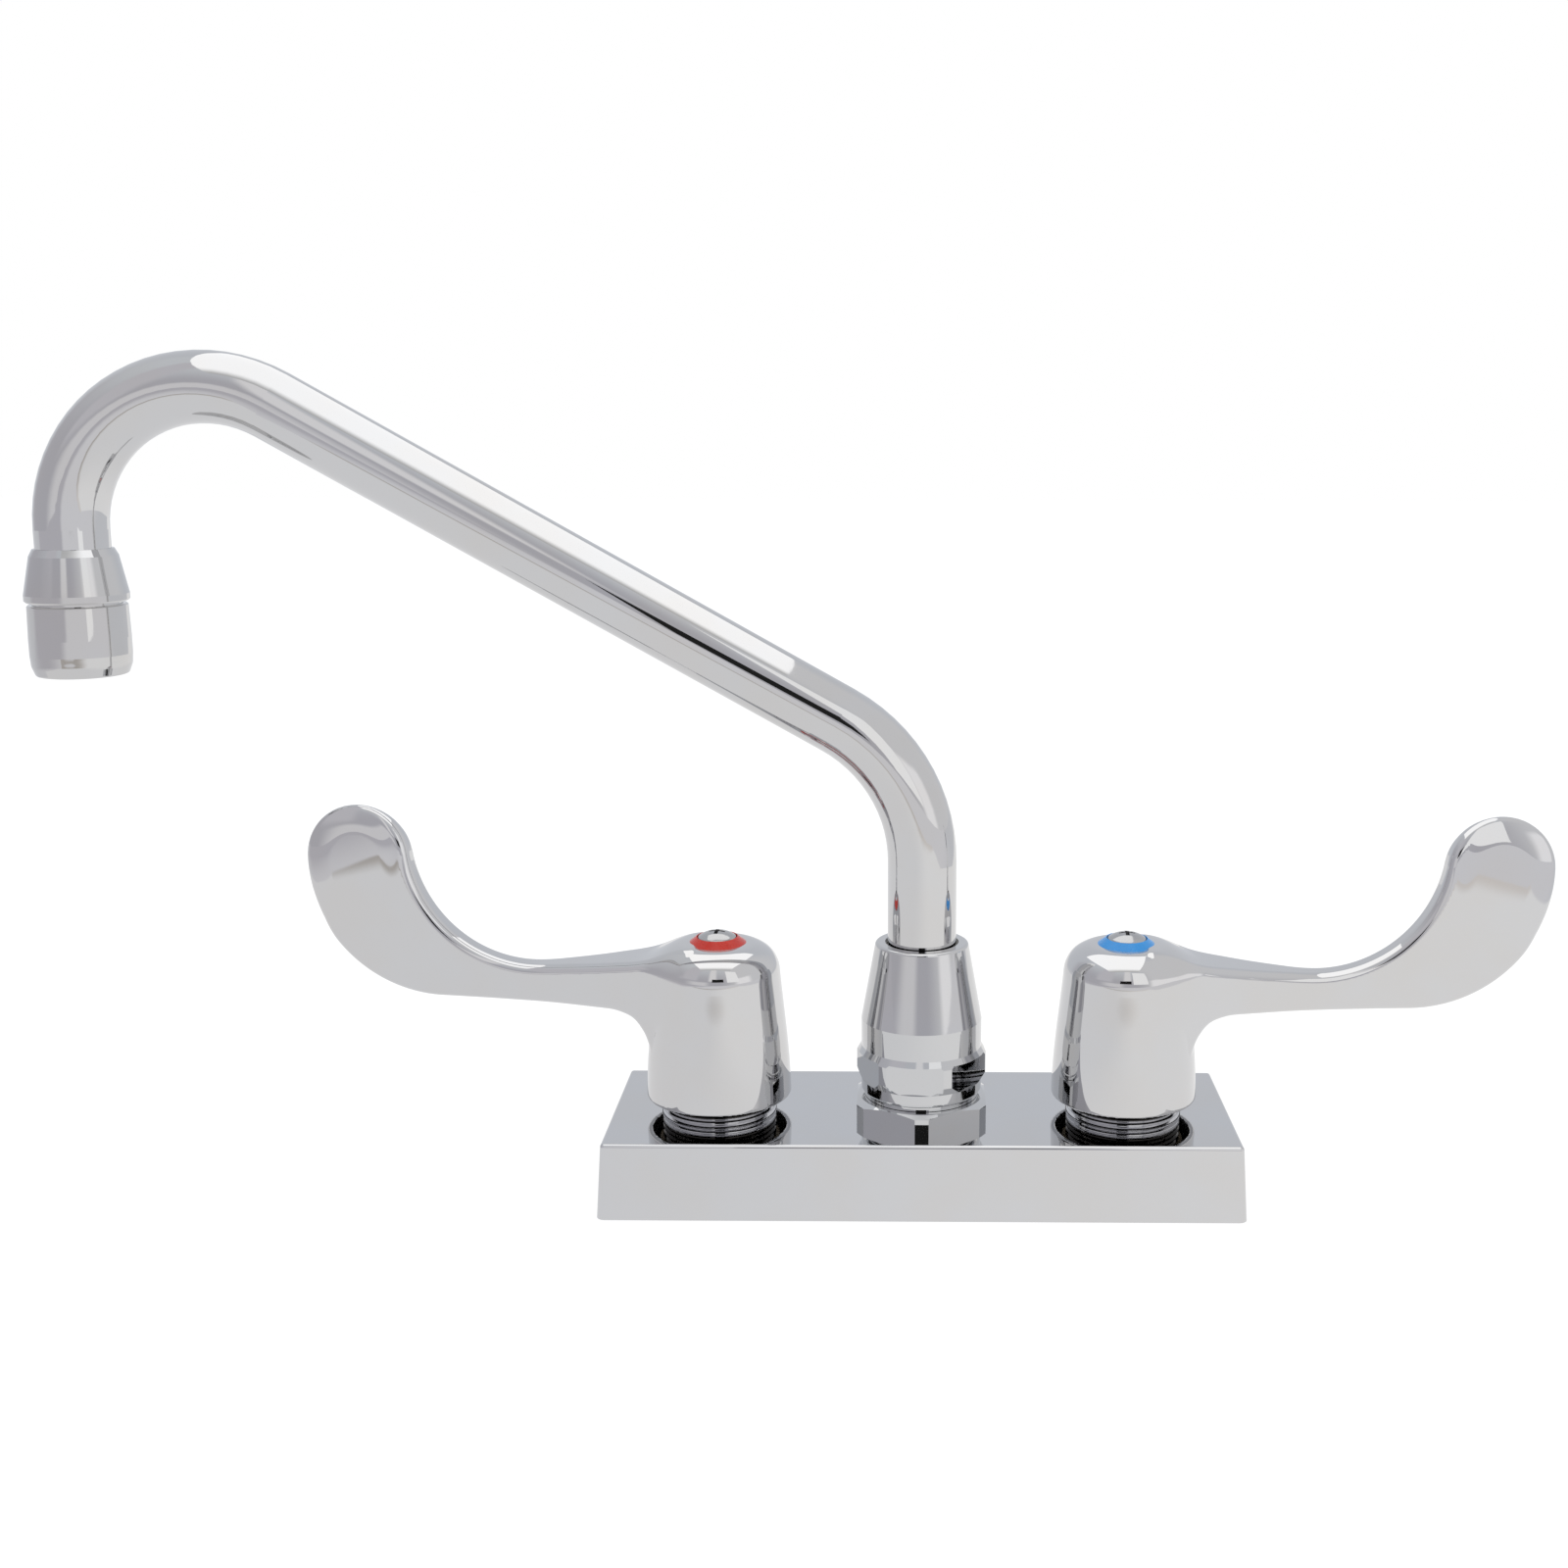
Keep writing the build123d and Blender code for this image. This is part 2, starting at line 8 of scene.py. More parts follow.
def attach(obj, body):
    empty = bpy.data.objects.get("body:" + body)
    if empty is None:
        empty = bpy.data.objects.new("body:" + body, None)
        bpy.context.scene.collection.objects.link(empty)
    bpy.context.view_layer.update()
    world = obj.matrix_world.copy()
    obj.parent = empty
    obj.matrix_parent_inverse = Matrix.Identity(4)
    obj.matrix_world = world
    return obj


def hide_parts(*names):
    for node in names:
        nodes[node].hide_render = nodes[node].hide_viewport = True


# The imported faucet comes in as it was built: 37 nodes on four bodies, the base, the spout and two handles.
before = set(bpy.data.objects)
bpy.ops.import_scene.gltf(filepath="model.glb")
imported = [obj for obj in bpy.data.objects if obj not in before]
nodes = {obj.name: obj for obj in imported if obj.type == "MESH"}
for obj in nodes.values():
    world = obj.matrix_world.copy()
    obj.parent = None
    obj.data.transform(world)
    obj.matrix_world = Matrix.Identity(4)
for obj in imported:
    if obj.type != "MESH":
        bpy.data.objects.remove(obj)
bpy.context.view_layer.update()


# Base cover: a drafted cover of drawn brass, buffed and then plated with nickel and chrome.
# It is open below and stands on its lower rim, clamped by the spout's lock nut.
def add_node(tree, kind, **sockets):
    """A node with the named input sockets set, or linked where the value is another node's output."""
    made = tree.nodes.new(kind)
    for name, value in sockets.items():
        place = int(name[1:]) if name[0] == "i" and name[1:].isdigit() else name.replace("_", " ")
        if isinstance(value, bpy.types.NodeSocket):
            tree.links.new(value, made.inputs[place])
        else:
            made.inputs[place].default_value = value
    return made


def noise(tree, where, scale, detail=2.0, rough=0.5):
    """A noise value from 0 to 1, with its scale given in lumps per metre."""
    made = add_node(tree, "ShaderNodeTexNoise", Vector=where, Scale=scale, Detail=detail, Roughness=rough)
    return made.outputs["Fac"]


def math_node(tree, operation, first, second=0.0):
    """One sum, product or function."""
    made = add_node(tree, "ShaderNodeMath", i0=first, i1=second)
    made.operation = operation
    return made.outputs[0]


def ramp(tree, value, start, end, low=0.0, high=1.0):
    """A value that goes smoothly from low to high as the input goes from start to end."""
    made = add_node(tree, "ShaderNodeMapRange", Value=value)
    made.interpolation_type = "SMOOTHSTEP"
    made.inputs["From Min"].default_value = start
    made.inputs["From Max"].default_value = end
    made.inputs["To Min"].default_value = low
    made.inputs["To Max"].default_value = high
    return made.outputs[0]


def blend_colour(tree, share, first, second):
    """A colour between two others."""
    made = tree.nodes.new("ShaderNodeMix")
    made.data_type = "RGBA"
    for place, value in ((0, share), (6, first), (7, second)):
        if isinstance(value, bpy.types.NodeSocket):
            tree.links.new(value, made.inputs[place])
        else:
            made.inputs[place].default_value = value
    return made.outputs[2]


def bump(tree, height, distance, below=None):
    """A surface normal tilted by a height field, with the height given in metres."""
    made = add_node(tree, "ShaderNodeBump", Height=height, Distance=distance, Strength=1.0)
    if below is not None:
        tree.links.new(below, made.inputs["Normal"])
    return made.outputs[0]


def new_material(name):
    """An empty node material with its output, its shader and the object's own coordinates."""
    material = bpy.data.materials.new(name)
    material.use_nodes = True
    tree = material.node_tree
    shader = tree.nodes["Principled BSDF"]
    where = tree.nodes.new("ShaderNodeTexCoord").outputs["Object"]
    return material, tree, shader, where


def chrome_plating(name, tint, haze, waviness, grain):
    """Bright chrome: a slow waviness left by buffing, fine polishing grain and a faint handling haze."""
    material, tree, shader, where = new_material(name)
    warm = tuple(c * k for c, k in zip(tint, (1.0, 0.985, 0.965)))
    cloud = noise(tree, where, 35.0, 3.0, 0.6)
    colour = blend_colour(tree, ramp(tree, cloud, 0.35, 0.7), (*tint, 1), (*warm, 1))
    smear = noise(tree, where, 140.0, 4.0, 0.65)
    rough = ramp(tree, smear, 0.3, 0.8, haze * 0.7, haze * 1.5)
    slow = bump(tree, noise(tree, where, 55.0, 1.0), waviness)
    fine = bump(tree, noise(tree, where, 1400.0, 2.0), grain, slow)
    shader.inputs["Metallic"].default_value = 1.0
    tree.links.new(colour, shader.inputs["Base Color"])
    tree.links.new(rough, shader.inputs["Roughness"])
    tree.links.new(fine, shader.inputs["Normal"])
    return material


def dress(material, *names):
    """Gives nodes their finish."""
    for name in names:
        piece = nodes[name]
        piece.data.materials.clear()
        piece.data.materials.append(material)


cover_chrome = chrome_plating("cover_chrome", (0.62, 0.625, 0.64), 0.03, 1.6e-5, 2.0e-7)
dress(cover_chrome, "base_cover")


# Valve casting: one sand-cast brass body below the cover. Its two necks come up through the cover
# with a rolled outside thread, and only the necks are plated. Inside the hubs the necks are near-black with
# painted shade.
def cast_and_plated(name, plated_from, shade_painted_from):
    """Cast brass below the cover, plating with faint marks above it, and near-black painted shade inside the
    hubs.
    """
    material, tree, shader, where = new_material(name)
    height = add_node(tree, "ShaderNodeSeparateXYZ", Vector=where).outputs["Z"]
    plated = ramp(tree, height, plated_from - 0.0002, plated_from)
    sand = noise(tree, where, 1100.0, 5.0, 0.7)
    brass = blend_colour(tree, sand, (0.50, 0.35, 0.15, 1), (0.68, 0.50, 0.24, 1))
    chrome = blend_colour(tree, noise(tree, where, 90.0, 3.0), (0.52, 0.52, 0.54, 1), (0.62, 0.62, 0.63, 1))
    colour = blend_colour(tree, plated, brass, chrome)
    # Painted shade: the necks turn near-black where they run up into the hubs' hollows.
    hub_shade_share = ramp(tree, height, shade_painted_from, shade_painted_from + 0.0003)
    colour = blend_colour(tree, hub_shade_share, colour, (0.035, 0.032, 0.030, 1))
    rough = ramp(tree, plated, 0.0, 1.0, 0.48, 0.08)
    pits = bump(tree, sand, 6.0e-5)
    marks = bump(tree, noise(tree, where, 700.0, 1.0), 6.0e-7)
    mixed = add_node(tree, "ShaderNodeMix")
    mixed.data_type = "VECTOR"
    tree.links.new(plated, mixed.inputs[0])
    tree.links.new(pits, mixed.inputs[4])
    tree.links.new(marks, mixed.inputs[5])
    shader.inputs["Metallic"].default_value = 1.0
    tree.links.new(colour, shader.inputs["Base Color"])
    tree.links.new(rough, shader.inputs["Roughness"])
    tree.links.new(mixed.outputs[1], shader.inputs["Normal"])
    return material


casting_finish = cast_and_plated("casting_chrome", 0.0185, 0.0208)
dress(casting_finish, "valve_casting")


# Spout mount: a lock nut clamps the cover on the brass nipple, and a tall union nut screws on it.
# The nuts are turned from brass bar, milled to their hexagons and chrome plated.
def turned_metal(name, light, dark, rough, pitch):
    """Bare turned metal with fine tool marks that run round it."""
    material, tree, shader, where = new_material(name)
    stretched = add_node(tree, "ShaderNodeMapping", Vector=where)
    stretched.inputs["Scale"].default_value = (60.0, 60.0, 1.0 / pitch)
    marks = noise(tree, stretched.outputs[0], 1.0, 2.0)
    patina = noise(tree, where, 160.0, 4.0, 0.6)
    tree.links.new(blend_colour(tree, patina, (*dark, 1), (*light, 1)), shader.inputs["Base Color"])
    tree.links.new(ramp(tree, patina, 0.2, 0.8, rough * 0.8, rough * 1.4), shader.inputs["Roughness"])
    tree.links.new(bump(tree, marks, 4.0e-6), shader.inputs["Normal"])
    shader.inputs["Metallic"].default_value = 1.0
    return material


nut_chrome = chrome_plating("nut_chrome", (0.60, 0.605, 0.615), 0.035, 8.0e-6, 3.0e-7)
turned_brass = turned_metal("turned_brass", (0.78, 0.60, 0.30), (0.62, 0.45, 0.19), 0.24, 0.00025)
dress(nut_chrome, "spout_locknut", "spout_union_nut")
dress(turned_brass, "spout_socket")


# Swivel: a brass sleeve brazed to the tube turns in the nipple on two O-rings. An acetal bushing
# steadies the tube in the union nut's mouth, and an acetal slip ring takes the thrust.
def moulded_plastic(name, light, dark, rough, grain):
    """Moulded plastic or rubber with a fine mould grain and slight cloudiness."""
    material, tree, shader, where = new_material(name)
    cloud = noise(tree, where, 220.0, 3.0)
    tree.links.new(blend_colour(tree, cloud, (*dark, 1), (*light, 1)), shader.inputs["Base Color"])
    tree.links.new(ramp(tree, cloud, 0.3, 0.7, rough * 0.85, rough * 1.15), shader.inputs["Roughness"])
    tree.links.new(bump(tree, noise(tree, where, 2600.0, 3.0), grain), shader.inputs["Normal"])
    return material


acetal = moulded_plastic("bushing_plastic", (0.78, 0.78, 0.75), (0.70, 0.70, 0.66), 0.42, 3.0e-6)
rubber = moulded_plastic("seal_rubber", (0.040, 0.040, 0.042), (0.022, 0.022, 0.024), 0.62, 6.0e-6)
dress(acetal, "guide_bushing", "thrust_washer")
dress(rubber, "spout_o_rings")
dress(turned_brass, "swivel_sleeve")


# Spout tube: brass tube drawn to size, bent over a mandrel and buffed along its length before plating.
# The drawing leaves faint long waves, which stretch the reflections a little.
spout_chrome = chrome_plating("spout_chrome", (0.62, 0.622, 0.63), 0.03, 1.2e-5, 2.0e-7)
dress(spout_chrome, "spout_tube")


# Outlet: a conical nut brazed on the tube's end, and a screwed aerator cap with its washer, flow
# former and screen. Nut and cap are plated, the former is grey acetal and the screen stainless steel.
aerator_chrome = chrome_plating("aerator_chrome", (0.60, 0.602, 0.61), 0.035, 6.0e-6, 3.0e-7)
aerator_plastic = moulded_plastic("aerator_plastic", (0.30, 0.31, 0.33), (0.22, 0.23, 0.25), 0.45, 4.0e-6)
screen_steel = turned_metal("screen_steel", (0.60, 0.60, 0.60), (0.50, 0.50, 0.51), 0.3, 0.0001)
dress(aerator_chrome, "outlet_nut", "aerator_housing")
dress(rubber, "aerator_washer")
dress(aerator_plastic, "aerator_insert")
dress(screen_steel, "aerator_screen")


# Valves: in each neck a brass headwork holds a fixed and a turning ceramic disc over a rubber seat,
# with a bonnet nut on top and a square-ended stem through its guide.
ceramic = moulded_plastic("disc_ceramic", (0.86, 0.84, 0.80), (0.80, 0.78, 0.74), 0.14, 4.0e-7)
dull_brass = turned_metal("dull_brass", (0.16, 0.12, 0.07), (0.08, 0.06, 0.035), 0.5, 0.00025)
for side in ("hot", "cold"):
    dress(ceramic, f"{side}_fixed_disc", f"{side}_moving_disc")
    dress(rubber, f"{side}_seat_seal", f"{side}_cartridge_seal", f"{side}_stem_o_rings")
    dress(dull_brass, f"{side}_cartridge_body", f"{side}_bonnet_nut")
    dress(turned_brass, f"{side}_stem")


# Handles: wrist blades cast in zinc, hub, arm and paddle in one, buffed by hand and chrome plated.
# Hub and blade are turned and drawn profiles, in millimetres about the valve's axis with the arm along X,
# and they run into each other with a cast fillet. The one skin over them keeps their exact slopes for gloss.
def through(points, first, last, count=24):
    """A smooth curve through points, with the directions it starts and ends in."""
    points = np.array(points, float)
    gaps = np.linalg.norm(np.diff(points, axis=0), axis=1)
    slopes = np.zeros_like(points)
    steps = np.diff(points, axis=0) / gaps[:, None]
    slopes[1:-1] = (steps[:-1] * gaps[1:, None] + steps[1:] * gaps[:-1, None]) / (gaps[1:] + gaps[:-1])[:, None]
    slopes[0] = np.array(first, float) / np.linalg.norm(first)
    slopes[-1] = np.array(last, float) / np.linalg.norm(last)
    t = np.linspace(0, 1, count, endpoint=False)[:, None]
    pieces = []
    for k, gap in enumerate(gaps):
        pieces.append(
            points[k] * (2 * t**3 - 3 * t**2 + 1) + points[k + 1] * (3 * t**2 - 2 * t**3)
            + slopes[k] * gap * (t**3 - 2 * t**2 + t) + slopes[k + 1] * gap * (t**3 - t**2)
        )
    return np.concatenate(pieces + [points[-1:]])


def arc(centre, across, up, start, end, count=90):
    """Points on an arc between two angles in degrees."""
    turns = np.radians(np.linspace(start, end, count))
    return np.column_stack([centre[0] + across * np.cos(turns), centre[1] + up * np.sin(turns)])


def distance_chart(outline, low, high, step):
    """Signed distances to a closed outline on a grid of places, negative inside."""
    across = np.arange(low[0], high[0], step)
    up = np.arange(low[1], high[1], step)
    way = np.roll(outline, -1, axis=0) - outline
    length = np.maximum((way**2).sum(1), 1e-12)
    chart = np.empty((len(across), len(up)))
    for column, x in enumerate(across):
        from_x = x - outline[:, 0]
        from_y = up[:, None] - outline[:, 1]
        share = np.clip((from_x * way[:, 0] + from_y * way[:, 1]) / length, 0, 1)
        near = np.sqrt(((from_x - share * way[:, 0])**2 + (from_y - share * way[:, 1])**2).min(1))
        passes = (outline[:, 1] > up[:, None]) != (outline[:, 1] + way[:, 1] > up[:, None])
        run = np.where(way[:, 1] == 0, 1.0, way[:, 1])
        right_of = from_x < from_y / run * way[:, 0]
        chart[column] = np.where((passes & right_of).sum(1) % 2 == 1, -near, near)
    return chart, low, step


def read_chart(chart, across, up):
    """A smooth reading of a chart between its grid points."""
    values, low, step = chart
    total = 0.0
    taps = []
    for place, start, size in ((across, low[0], values.shape[0]), (up, low[1], values.shape[1])):
        cell = np.clip((place - start) / step, 1.001, size - 3.001)
        base = np.floor(cell).astype(np.int32)
        t = cell - base
        inner = ((3 * t**3 - 6 * t**2 + 4) / 6, (1 + 3 * t + 3 * t**2 - 3 * t**3) / 6)
        taps.append((base - 1, ((1 - t)**3 / 6, *inner, t**3 / 6)))
    for i, wide in enumerate(taps[0][1]):
        for k, tall in enumerate(taps[1][1]):
            total = total + wide * tall * values[taps[0][0] + i, taps[1][0] + k]
    return total


def rounded_cut(first, second, radius):
    """What is inside both forms, with a rounded outer edge where they meet."""
    away = np.sqrt(np.maximum(first + radius, 0)**2 + np.maximum(second + radius, 0)**2)
    return np.minimum(np.maximum(first, second), -radius) + away


def filleted_join(first, second, radius):
    """What is inside either form, with a fillet where they meet."""
    near = np.sqrt(np.maximum(radius - first, 0)**2 + np.maximum(radius - second, 0)**2)
    return np.maximum(np.minimum(first, second), radius) - near


def eased(value, start, end):
    """Zero before start, one after end and smooth between them."""
    t = np.clip((value - start) / (end - start), 0, 1)
    return t * t * (3 - 2 * t)


skirt_low, hub_high = 23.1, 61.95
skirt_edge = [(-9, skirt_low), (17.6, skirt_low), (17.95, 23.2)]
hub_side = through([(18.1, 23.5), (17.85, 29.5), (15.66, 53.2)], (-0.02, 1), (-0.09, 1), 90)
crown_points = [(15.66, 53.2), (15.1, 56.9), (13.5, 59.6), (10.3, 61.55), (6.35, hub_high)]
hub_crown = through(crown_points, (-0.09, 1), (-1, 0.06), 60)
hub_outline = np.concatenate([skirt_edge, hub_side, hub_crown[1:], [(-9, hub_high)]])
hollow_outline = np.array([(-9, 10), (16.8, 10), (16.8, skirt_low), (14.75, 47), (12.75, 49), (-9, 49)], float)
hub_chart, hollow_chart = (
    distance_chart(outline, (-8, 16), (32, 70), 0.3) for outline in (hub_outline, hollow_outline)
)
boss_radius, boss_low = 7.2, 44.0
tip_lean = -7.05
hollow_arc = arc((46.1, 87.0), 31.5, 31.5, -90, tip_lean)
tip_arc = arc((90.6, 81.5), 13.3, 13.3, 180 + tip_lean, 0)
belly_arc = arc((69.1, 81.5), 34.8, 35.0, 0, -90)
arm_top = through([(5, 61.8), (11, 60.7), (17, 58.7), (26, 57.3), (36, 56.2), (46.1, 55.5)], (1, -0.1), (1, 0))
web_points = [(29.4, 45.5), (24.0, 45.1), (20.3, 43.7), (17.6, 40.4), (15.8, 35.5), (14.4, 31.0)]
web = through(web_points, (-1, -0.04), (-0.3, -1))
blade_outline = np.concatenate([arm_top[:-1], hollow_arc, tip_arc[1:], belly_arc[1:], web, [(5, 31)]])
blade_chart = distance_chart(blade_outline, (-12, 16), (120, 106), 0.4)
half_stations = [(4.0, 9.4), (16.0, 8.6), (30.0, 6.2), (42.0, 4.4), (54.0, 3.75), (66.0, 3.6)]
half_curve = through(half_stations, (1, 0), (1, 0))
edge_round, root_round, low_round, lip_round = 2.3, 5.0, 0.4, 0.3
root_heights, top_heights, top_fade = (40, 48), (56, 61), 0.75
thinning, thinning_from, thinning_slant = 0.0012, (89.0, 62.0), 0.52
tip_band, tip_drop, tip_slant, tip_reach, tip_heights = 7.0, 1.5, 0.6, (77, 88), (64, 78)


def handle_form(x, y, z):
    """Distance to the handle's skin, negative inside."""
    out = np.sqrt(x * x + y * y)
    hub = read_chart(hub_chart, out, z)
    outline = read_chart(blade_chart, x, z)
    along = np.maximum(z - thinning_from[1] + thinning_slant * (x - thinning_from[0]), 0)
    half = np.interp(x, half_curve[:, 0], half_curve[:, 1]) - thinning * along**2
    near_tip = eased(x, *tip_reach) * eased(z + tip_slant * (x - 90.0), *tip_heights)
    half = half - tip_drop * (1 - np.clip(-outline, 0, tip_band) / tip_band)**2 * near_tip
    blade = rounded_cut(outline, np.abs(y) - half, np.minimum(edge_round, 0.85 * half))
    at_root = eased(z, *root_heights) * (1 - top_fade * eased(z, *top_heights))
    fillet = low_round + (root_round - low_round) * at_root
    body = filleted_join(hub, blade, fillet)
    boss = np.maximum(out - boss_radius, boss_low - z)
    hollow = np.maximum(read_chart(hollow_chart, out, z), -boss)
    return rounded_cut(body, -hollow, lip_round)


def skin_over(form, low, high, step):
    """A quad mesh over a form: points on its surface, faces, and the form's own slope at each point."""
    axes = [np.arange(a, b, step) for a, b in zip(low, high)]
    sheet = np.meshgrid(axes[1], axes[2], indexing="ij")
    grid = np.stack([form(np.full(sheet[0].shape, x), *sheet) for x in axes[0]])
    inside = grid < 0
    count = sum(
        inside[i:inside.shape[0] - 1 + i, j:inside.shape[1] - 1 + j, k:inside.shape[2] - 1 + k].astype(np.int8)
        for i in (0, 1) for j in (0, 1) for k in (0, 1)
    )
    crossed = (count > 0) & (count < 8)
    cells = np.argwhere(crossed)
    number = np.full(crossed.shape, -1)
    number[crossed] = np.arange(len(cells))
    total = np.zeros((len(cells), 3))
    hits = np.zeros(len(cells))
    for axis in range(3):
        others = [a for a in range(3) if a != axis]
        for i in (0, 1):
            for k in (0, 1):
                corner = cells.copy()
                corner[:, others[0]] += i
                corner[:, others[1]] += k
                end = corner.copy()
                end[:, axis] += 1
                a, b = grid[tuple(corner.T)], grid[tuple(end.T)]
                cut = (a < 0) != (b < 0)
                share = np.where(cut, a / np.where(cut, a - b, 1.0), 0.0)
                place = corner.astype(float)
                place[:, axis] += share
                total += place * cut[:, None]
                hits += cut
    points = total / hits[:, None] * step + np.array(low)
    for _ in range(4):
        value = form(*points.T)
        slope = form_slope(form, points)
        points -= np.clip(value, -step, step)[:, None] * slope
    slope = form_slope(form, points)
    faces = []
    for axis in range(3):
        one, two = (axis + 1) % 3, (axis + 2) % 3
        first = np.take(inside, range(inside.shape[axis] - 1), axis)
        second = np.take(inside, range(1, inside.shape[axis]), axis)
        for direction, chosen in ((1, first & ~second), (-1, second & ~first)):
            edges = np.argwhere(chosen)
            edges = edges[(edges[:, one] > 0) & (edges[:, two] > 0)]
            around = []
            for i, k in ((0, 0), (-1, 0), (-1, -1), (0, -1)):
                cell = edges.copy()
                cell[:, one] += i
                cell[:, two] += k
                around.append(number[tuple(cell.T)])
            faces.append(np.column_stack(around[::direction]))
    return points, np.concatenate(faces), slope


def form_slope(form, points, reach=0.06):
    """The outward direction of a form at points."""
    slope = np.empty_like(points)
    for axis in range(3):
        ahead, behind = points.copy(), points.copy()
        ahead[:, axis] += reach
        behind[:, axis] -= reach
        slope[:, axis] = form(*ahead.T) - form(*behind.T)
    return slope / np.maximum(np.linalg.norm(slope, axis=1), 1e-9)[:, None]


skin_step = 0.55
handle_low, handle_high = (-19.3, -19.3, 22.3), (105.2, 19.4, 96.4)
handle_skin = skin_over(handle_form, handle_low, handle_high, skin_step)
handle_chrome = chrome_plating("handle_chrome", (0.62, 0.622, 0.632), 0.03, 1.0e-5, 2.0e-7)
screw_chrome = chrome_plating("screw_chrome", (0.47, 0.473, 0.48), 0.10, 5.0e-6, 1.5e-6)


valve_axes = {"hot": -0.0508, "cold": 0.0508}
arm_bearings = {"hot": 175.0, "cold": -1.0}


def placed_piece(name, skin, side, material, node):
    """A skin in a handle's own millimetres, turned and moved to its valve, riding on its handle."""
    points, faces, slopes = skin
    spin = np.array(Matrix.Rotation(math.radians(arm_bearings[side]), 3, "Z"))
    place = points @ spin.T / 1000 + np.array([valve_axes[side], 0, 0])
    mesh = bpy.data.meshes.new(f"{side}_{name}")
    mesh.from_pydata(place.tolist(), [], faces.tolist())
    mesh.polygons.foreach_set("use_smooth", np.ones(len(mesh.polygons), bool))
    mesh.materials.append(material)
    mesh.update()
    mesh.normals_split_custom_set_from_vertices((slopes @ spin.T).tolist())
    piece = bpy.data.objects.new(f"{side}_{name}", mesh)
    bpy.context.scene.collection.objects.link(piece)
    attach(piece, f"{side}_handle")
    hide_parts(f"{side}_{node}")
    return piece


def second_finish(piece, material, chosen):
    """Gives the chosen faces of a piece another finish."""
    piece.data.materials.append(material)
    piece.data.polygons.foreach_set("material_index", chosen.astype(np.int32))


# Painted shade: near-black faces in the handles' hollow undersides, over their unplated zinc, and in the
# screws' cross recesses.
hollow_shade_finish = moulded_plastic("painted_hollow_shade", (0.045, 0.045, 0.047), (0.025, 0.025, 0.027), 0.55, 2.0e-5)
middles = handle_skin[0][handle_skin[1]].mean(1)
from_axis = np.hypot(middles[:, 0], middles[:, 1])
in_hollow = (read_chart(hollow_chart, from_axis, middles[:, 2]) < 0.15) & (middles[:, 2] > skirt_low + 0.25)
for side in ("hot", "cold"):
    casting = placed_piece("blade_casting", handle_skin, side, handle_chrome, "handle")
    second_finish(casting, hollow_shade_finish, in_hollow)
    dress(handle_chrome, f"{side}_handle")


# Markers and screws: a domed cross-head screw holds each handle on its stem, inside a moulded ring that
# slopes up to the screw's head, red on the hot side and blue on the cold.
def marker_ring(name, light, dark):
    """Glossy coloured plastic, its tone varying a little at random."""
    material, tree, shader, where = new_material(name)
    cloud = noise(tree, where, 300.0, 3.0)
    tree.links.new(blend_colour(tree, cloud, (*dark, 1), (*light, 1)), shader.inputs["Base Color"])
    tree.links.new(ramp(tree, cloud, 0.3, 0.7, 0.20, 0.30), shader.inputs["Roughness"])
    tree.links.new(bump(tree, noise(tree, where, 1500.0, 2.0), 1.5e-6), shader.inputs["Normal"])
    shader.inputs["Specular IOR Level"].default_value = 0.35
    shader.inputs["Coat Weight"].default_value = 0.1
    shader.inputs["Coat Roughness"].default_value = 0.08
    return material


ring_bore, ring_radius, ring_low, ring_edge_high, ring_high = 4.95, 7.35, 61.2, 61.95, 63.5
head_radius, head_low, head_rim, head_high = 4.85, 62.6, 63.4, 65.0
slot_half, slot_reach, slot_low = 0.45, 2.2, 63.9


def ring_form(x, y, z):
    """Distance to the marker ring, whose top slopes up to its bore."""
    out = np.sqrt(x * x + y * y)
    rise, run = ring_high - ring_edge_high, ring_radius - ring_bore - 0.4
    top = ((out - ring_radius + 0.2) * rise + (z - ring_edge_high) * run) / math.hypot(rise, run)
    wall = np.maximum(out - ring_radius, ring_bore - out)
    return rounded_cut(np.maximum(wall, ring_low - z), top, 0.2)


def head_form(x, y, z):
    """Distance to the screw's domed head."""
    rise = head_high - head_rim
    dome_radius = (head_radius**2 + rise**2) / (2 * rise)
    out = np.sqrt(x * x + y * y)
    dome = np.sqrt(x * x + y * y + (z - head_high + dome_radius)**2) - dome_radius
    return rounded_cut(dome, np.maximum(out - head_radius, head_low - z), 0.35)


def screw_form(x, y, z):
    """Distance to the screw's head with its cross recess."""
    head = head_form(x, y, z)
    reach = slot_reach + 0.7 * (z - head_high)
    one_way = np.maximum(np.abs(x) - slot_half, np.abs(y) - reach)
    other_way = np.maximum(np.abs(y) - slot_half, np.abs(x) - reach)
    return rounded_cut(head, -np.maximum(np.minimum(one_way, other_way), slot_low - z), 0.1)


fine_step = 0.15
ring_skin = skin_over(ring_form, (-7.9, -7.9, 60.7), (7.9, 7.9, 64.1), fine_step)
screw_skin = skin_over(screw_form, (-5.3, -5.3, 62.2), (5.3, 5.3, 65.5), fine_step)
screw_middles = screw_skin[0][screw_skin[1]].mean(1)
# The screws' cross recesses get the near-black painted shade.
in_recess = (head_form(*screw_middles.T) < -0.12) & (screw_middles[:, 2] > slot_low - 0.1)
marker_red = marker_ring("hot_red", (0.68, 0.050, 0.030), (0.56, 0.028, 0.018))
marker_blue = marker_ring("cold_blue", (0.045, 0.34, 0.80), (0.03, 0.27, 0.68))
for side, finish, ring_slot in (("hot", marker_red, "hot_red"), ("cold", marker_blue, "cold_blue")):
    placed_piece("marker", ring_skin, side, finish, "index_ring")
    screw = placed_piece("cross_screw", screw_skin, side, screw_chrome, "handle_screw")
    second_finish(screw, hollow_shade_finish, in_recess)
    dress(screw_chrome, f"{side}_handle_screw")
    dress(finish, f"{side}_index_ring")


